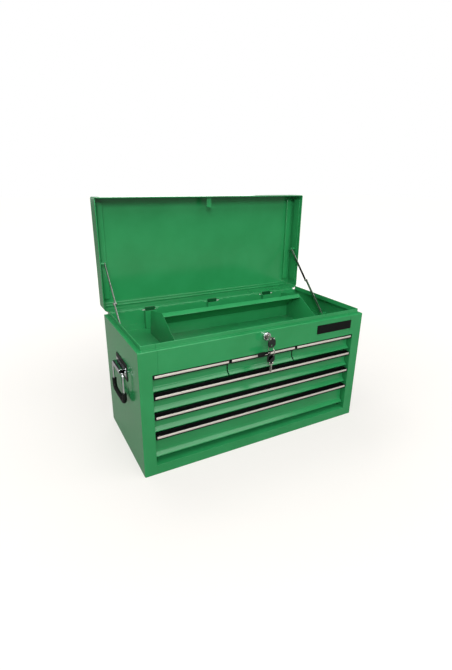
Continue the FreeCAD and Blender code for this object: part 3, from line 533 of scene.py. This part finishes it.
def rubberGrip(node, look):
    # a sleeve: the outer wall goes from end to end at its radius, thicker at the collars, and comes back
    # inside at the rod's radius; each ring is centre + r (cos u n + sin u x), n square to the path
    low, high = boxMm(node)
    r = look["radius"]
    path = bentRun((low[1] + r, low[2] + r), (high[1] - r, high[2]), look["bend"], look["stationsPerRun"])
    step = np.gradient(path, axis=0)
    step /= np.linalg.norm(step, axis=1)[:, None]
    run = np.concatenate([[0.0], np.cumsum(np.linalg.norm(np.diff(path, axis=0), axis=1))])
    fromEnd = np.minimum(run, run[-1] - run)
    edge = np.clip(1 - fromEnd / look["endRound"], 0.0, 1.0)
    collar = look["collar"] * np.clip((look["collarLength"] - fromEnd) / look["collarStep"], 0.0, 1.0)
    outer = r - look["collar"] + collar - look["endRound"] * (1 - np.sqrt(1 - edge ** 2))
    radii = np.concatenate([outer, np.full(len(run), look["rodRadius"])])
    centres = np.vstack([path, path[::-1]])
    ways = np.vstack([step, step[::-1]])
    u = fullTurn(look["around"])
    points = np.zeros((len(radii), len(u), 3))
    points[:, :, 0] = (low[0] + high[0]) / 2 + radii[:, None] * np.sin(u)[None, :]
    points[:, :, 1] = centres[:, :1] - ways[:, 1:] * radii[:, None] * np.cos(u)[None, :]
    points[:, :, 2] = centres[:, 1:] + ways[:, :1] * radii[:, None] * np.cos(u)[None, :]
    standFor(node + "_rubber", gridMesh(node + "_rubber", points, closedAlong=True), node, "black_rubber")


for node in ("handle_grip_left", "handle_grip_right"):
    rubberGrip(node, gripLook)
print("grips made")

# Split ring through the keys, in millimetres and radians
ringLook = {
    "drawnWire": 0.8,        # radius of the CAD ring's wire
    "wire": 0.39,
    "flatness": 1.6,         # how much wider than thick the wire is
    "offset": 0.40,          # each turn's distance from the ring's middle plane
    "kink": 0.22,            # angle over which the wire steps from one turn to the other
    "endGap": 0.06,          # angle that each end stops short
    "stations": 220,
    "around": 10,
}


def splitRing(node, look):
    # wire centre = middle + R (cos a, sin a) in (y, z) and x = offset tanh((a - 2 pi) / kink), for a
    # from 0 to 4 pi: two turns of flattened wire that cross over once
    low, high = boxMm(node)
    middle = (low + high) / 2
    big = (high[2] - low[2]) / 2 - look["drawnWire"]
    a = np.linspace(look["endGap"], 4 * math.pi - look["endGap"], look["stations"])
    x = look["offset"] * np.tanh((a - 2 * math.pi) / look["kink"])
    u = fullTurn(look["around"])
    spread = big + look["flatness"] * look["wire"] * np.cos(u)[None, :]
    points = np.zeros((len(a), len(u), 3))
    points[:, :, 0] = middle[0] + x[:, None] + look["wire"] * np.sin(u)[None, :]
    points[:, :, 1] = middle[1] + spread * np.cos(a)[:, None]
    points[:, :, 2] = middle[2] + spread * np.sin(a)[:, None]
    standFor(node + "_split", gridMesh(node + "_split", points), node, "nickel_steel")


splitRing("key_ring", ringLook)
print("ring made")

# Two beads pressed along the lid's rear lap, which is the foot of the open lid, in millimetres
lapLook = {
    "face": 203.0,           # the lap's inner face
    "low": 332.3,
    "high": 344.3,
    "halfLength": 313.0,
    "beads": (334.4, 342.3),
    "beadHalf": 1.9,
    "beadOut": 1.7,
    "skin": 0.25,
    "across": 49,
    "fromEnd": (0.0, 0.6, 1.8, 3.0),
    "taper": (0.0, 0.35, 0.85, 1.0),   # share of the beads' height at these distances from an end
}


def lapBeads(look):
    # section: y = face - skin - out (1 + cos(pi d / half)) / 2 within half a bead of each bead's line,
    # with d the distance from it; closed by the lap's face, and tapered to the skin over the last 3 mm
    z = np.linspace(look["low"], look["high"], look["across"])
    rise = np.zeros_like(z)
    for line in look["beads"]:
        d = np.minimum(np.abs(z - line), look["beadHalf"])
        rise += look["beadOut"] * (1 + np.cos(math.pi * d / look["beadHalf"])) / 2
    left = np.array(look["fromEnd"]) - look["halfLength"]
    x = np.concatenate([left, -left[::-1]])
    taper = np.concatenate([look["taper"], look["taper"][::-1]])
    points = np.zeros((len(x), len(z) + 2, 3))
    points[:, :, 0] = x[:, None]
    points[:, :-2, 1] = look["face"] - look["skin"] - taper[:, None] * rise[None, :]
    points[:, -2:, 1] = look["face"]
    points[:, :-2, 2] = z[None, :]
    points[:, -2:, 2] = (z[-1], z[0])
    addPiece("lid_lap_beads", gridMesh("lid_lap_beads", points), "lid", "green_paint")


lapBeads(lapLook)
print("lap beads made")

# The camera, solved from the object's straight edges
cameraView = {
    "place": (-0.5569, -0.9643, 0.6853),
    "azimuth": 28.456,
    "elevation": 20.459,
    "roll": 0.757,
    "sensor": 36.0,
    "lens": 22.41,
    "shift": (0.0018, -0.0036),
    "near": 0.02,
    "far": 60.0,
}


def placeCamera(look):
    # ahead = (sin a cos e, cos a cos e, -sin e); the columns are right, up and back, turned by the roll
    az, el, roll = (math.radians(look[k]) for k in ("azimuth", "elevation", "roll"))
    ahead = Vector((math.sin(az) * math.cos(el), math.cos(az) * math.cos(el), -math.sin(el)))
    right = ahead.cross(Vector((0, 0, 1))).normalized()
    up = right.cross(ahead)
    turnedRight = math.cos(roll) * right + math.sin(roll) * up
    turnedUp = -math.sin(roll) * right + math.cos(roll) * up
    data = bpy.data.cameras.new("photoCamera")
    data.sensor_fit = "VERTICAL"
    data.sensor_height = look["sensor"]
    data.lens = look["lens"]
    data.shift_x, data.shift_y = look["shift"]
    data.clip_start, data.clip_end = look["near"], look["far"]
    camera = bpy.data.objects.new("photoCamera", data)
    camera.matrix_world = Matrix((turnedRight, turnedUp, -ahead)).transposed().to_4x4()
    camera.location = look["place"]
    bpy.context.scene.collection.objects.link(camera)
    bpy.context.scene.camera = camera


placeCamera(cameraView)
print("camera placed")

# Soft studio: lamps as (name, place, aim, width, height, watts), in metres
studio = {
    "lamps": [
        ("overheadSoftbox", (0.45, -1.1, 2.25), (0.45, -1.1, 0.0), 2.6, 1.45, 38.0),
        ("keySoftbox", (-1.2, -2.4, 1.8), (0.0, 0.0, 0.25), 0.7, 0.7, 44.0),
        ("frontSoftbox", (0.2, -2.7, 1.55), (0.0, 0.0, 0.30), 2.0, 1.3, 25.0),
        ("leftSoftbox", (-2.5, -0.2, 0.7), (0.0, 0.0, 0.25), 0.8, 0.8, 16.0),
        ("rearSoftbox", (-0.4, 0.95, 2.3), (0.0, 0.1, 0.2), 1.4, 0.8, 20.0),
        ("backSoftbox", (0.9, 2.6, 1.3), (0.0, 0.1, 0.3), 1.4, 1.0, 14.0),
    ],
    "worldGrey": "dadcdc",
    "worldStrength": 0.20,
    "room": ("e6e7e6", "303232"),      # the pale backdrop and the dark room above it, as gloss sees them
    "roomSpan": (0.02, 0.30),          # as the sine of the height above the horizon
    "backdrop": "ffffff",
    "floorHalf": 14.0,
    "floorGrey": "908e8a",
    "glowTint": "fffdfa",
    "glowNear": 0.62,                  # the floor's own light beside the object
    "glowFar": 1.0,                    # and past the reach of the lamps
    "glowFrom": 0.40,
    "glowTo": 2.2,
    "glowGloss": 0.13,                 # how much of it metal and gloss see
}


def areaLamp(name, place, aim, width, height, watts):
    data = bpy.data.lights.new(name, "AREA")
    data.shape = "RECTANGLE"
    data.size, data.size_y = width, height
    data.energy = watts
    lamp = bpy.data.objects.new(name, data)
    lamp.location = place
    lamp.rotation_euler = (Vector(aim) - Vector(place)).to_track_quat("-Z", "Y").to_euler()
    bpy.context.scene.collection.objects.link(lamp)


def seenDirectly(tree, gloss=1.0):
    # 1 for rays from the camera or through glass, and this share for rays from a mirror-like surface
    path = addNode(tree, "ShaderNodeLightPath")
    mirror = addNode(tree, "ShaderNodeMath", {"operation": "MULTIPLY", 1: gloss},
                     {0: (path, "Is Glossy Ray")})
    first = addNode(tree, "ShaderNodeMath", {"operation": "ADD"},
                    {0: (path, "Is Camera Ray"), 1: (mirror, "Value")})
    return addNode(tree, "ShaderNodeMath", {"operation": "ADD", "use_clamp": True},
                   {0: (first, "Value"), 1: (path, "Is Transmission Ray")})


def lightRoom(look):
    # the camera sees a white backdrop, gloss sees a pale horizon under a dark ceiling, and everything
    # else is lit by an even grey
    world = bpy.data.worlds.new("studioWorld")
    bpy.context.scene.world = world
    tree = emptyTree(world)
    lit = addNode(tree, "ShaderNodeBackground",
                  {"Color": linear(look["worldGrey"]), "Strength": look["worldStrength"]})
    seen = addNode(tree, "ShaderNodeBackground", {"Color": linear(look["backdrop"]), "Strength": 1.0})
    first = addNode(tree, "ShaderNodeMixShader",
                    links={0: (seenDirectly(tree), "Value"), 1: (lit, "Background"), 2: (seen, "Background")})
    way = addNode(tree, "ShaderNodeTexCoord")
    height = addNode(tree, "ShaderNodeSeparateXYZ", links={"Vector": (way, "Generated")})
    shade = colourBetween(tree, (height, "Z"), look["room"], look["roomSpan"])
    mirrored = addNode(tree, "ShaderNodeBackground", {"Strength": 1.0}, {"Color": (shade, "Color")})
    path = addNode(tree, "ShaderNodeLightPath")
    both = addNode(tree, "ShaderNodeMixShader",
                   links={0: (path, "Is Glossy Ray"), 1: (first, "Shader"), 2: (mirrored, "Background")})
    addNode(tree, "ShaderNodeOutputWorld", links={"Surface": (both, "Shader")})


def layFloor(look):
    # the floor keeps the object's shadow: beside it the light that falls there counts most, and further
    # off, past the lamps' reach, the floor's own light takes over, so that the far floor stays as pale
    half = look["floorHalf"]
    mesh = bpy.data.meshes.new("studioFloor")
    mesh.from_pydata([(-half, -half, 0), (half, -half, 0), (half, half, 0), (-half, half, 0)], [],
                     [(0, 1, 2, 3)])
    floor = bpy.data.objects.new("studioFloor", mesh)
    bpy.context.scene.collection.objects.link(floor)
    material = bpy.data.materials.new("paleFloor")
    tree = emptyTree(material)
    board = addNode(tree, "ShaderNodeBsdfDiffuse", {"Color": linear(look["floorGrey"])})
    place = addNode(tree, "ShaderNodeTexCoord")
    reach = addNode(tree, "ShaderNodeVectorMath", {"operation": "LENGTH"}, {0: (place, "Object")})
    level = addNode(tree, "ShaderNodeMapRange",
                    {"From Min": look["glowFrom"], "From Max": look["glowTo"],
                     "To Min": look["glowNear"], "To Max": look["glowFar"]}, {"Value": (reach, "Value")})
    glow = addNode(tree, "ShaderNodeEmission", {"Color": linear(look["glowTint"])},
                   {"Strength": (level, "Result")})
    lift = addNode(tree, "ShaderNodeAddShader", links={0: (board, "BSDF"), 1: (glow, "Emission")})
    both = addNode(tree, "ShaderNodeMixShader",
                   links={0: (seenDirectly(tree, look["glowGloss"]), "Value"), 1: (board, "BSDF"),
                          2: (lift, "Shader")})
    addNode(tree, "ShaderNodeOutputMaterial", links={"Surface": (both, "Shader")})
    mesh.materials.append(material)


for lamp in studio["lamps"]:
    areaLamp(*lamp)
lightRoom(studio)
layFloor(studio)
bpy.context.scene.view_settings.view_transform = "Standard"
print("studio lit")
